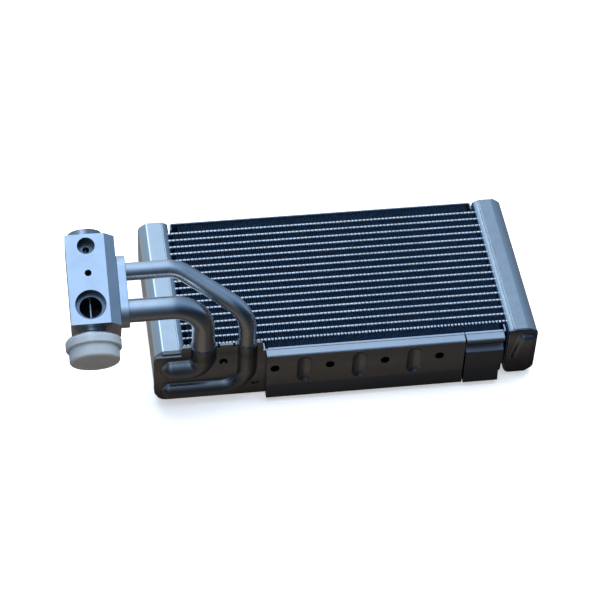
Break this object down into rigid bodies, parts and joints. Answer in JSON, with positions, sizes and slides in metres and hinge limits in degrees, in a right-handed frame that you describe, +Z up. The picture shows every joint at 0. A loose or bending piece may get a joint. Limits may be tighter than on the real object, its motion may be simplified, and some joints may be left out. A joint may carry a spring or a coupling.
{
  "type": "evaporator core",
  "caption": "Brazed aluminium evaporator core with seventeen flat tubes, two side headers, bent pipes and a block expansion valve under a white cap.",
  "frame": {"origin": "Middle of the bounding box at its bottom, on the surface the core lies on", "axes": "+X along the tubes towards the right header, +Y from the channel plate to the far side plate, +Z up through the depth of the core"},
  "size_m": [0.3626, 0.1896, 0.1421],
  "materials": {
    "tube_aluminium": "dull brazed aluminium, pale along its edge",
    "fin_coated": "thin fin sheet with a dark blue black coat",
    "header_aluminium": "satin drawn aluminium with a faint coat",
    "plate_aluminium": "pressed and brazed aluminium sheet, dull grey",
    "pipe_aluminium": "smooth drawn pipe, satin",
    "braze_metal": "bright fillet of brazing metal",
    "valve_aluminium": "extruded block, fine satin blast",
    "valve_steel": "turned and pressed steel",
    "seal_rubber": "dark green seal rubber",
    "cap_plastic": "white moulded plastic, soft gloss"
  },
  "bodies": {
    "root": {"tube_01": "tube_aluminium", "tube_02": "tube_aluminium", "tube_03": "tube_aluminium", "tube_04": "tube_aluminium", "tube_05": "tube_aluminium", "tube_06": "tube_aluminium", "tube_07": "tube_aluminium", "tube_08": "tube_aluminium", "tube_09": "tube_aluminium", "tube_10": "tube_aluminium", "tube_11": "tube_aluminium", "tube_12": "tube_aluminium", "tube_13": "tube_aluminium", "tube_14": "tube_aluminium", "tube_15": "tube_aluminium", "tube_16": "tube_aluminium", "tube_17": "tube_aluminium", "fin_01": "fin_coated", "fin_02": "fin_coated", "fin_03": "fin_coated", "fin_04": "fin_coated", "fin_05": "fin_coated", "fin_06": "fin_coated", "fin_07": "fin_coated", "fin_08": "fin_coated", "fin_09": "fin_coated", "fin_10": "fin_coated", "fin_11": "fin_coated", "fin_12": "fin_coated", "fin_13": "fin_coated", "fin_14": "fin_coated", "fin_15": "fin_coated", "fin_16": "fin_coated", "fin_17": "fin_coated", "fin_18": "fin_coated", "left_header_plate": "header_aluminium", "right_header_plate": "header_aluminium", "left_tank": "header_aluminium", "right_tank": "header_aluminium", "left_near_cap": "header_aluminium", "right_near_cap": "header_aluminium", "far_end_caps": "header_aluminium", "far_side_plate": "plate_aluminium", "near_side_plate": "plate_aluminium", "channel_back_plate": "plate_aluminium", "channel_front_plate": "plate_aluminium", "short_bracket": "plate_aluminium", "suction_pipe": "pipe_aluminium", "liquid_pipe": "pipe_aluminium", "braze_rings": "braze_metal", "pipe_flange": "pipe_aluminium", "flange_o_rings": "seal_rubber", "flange_screw": "valve_steel", "valve_plug": "valve_steel", "valve_spring": "valve_steel", "valve_ball": "valve_steel", "sensing_rod": "valve_steel", "power_head": "valve_steel", "valve_body": "valve_aluminium", "protective_cap": "cap_plastic"}
  },
  "joints": []
}
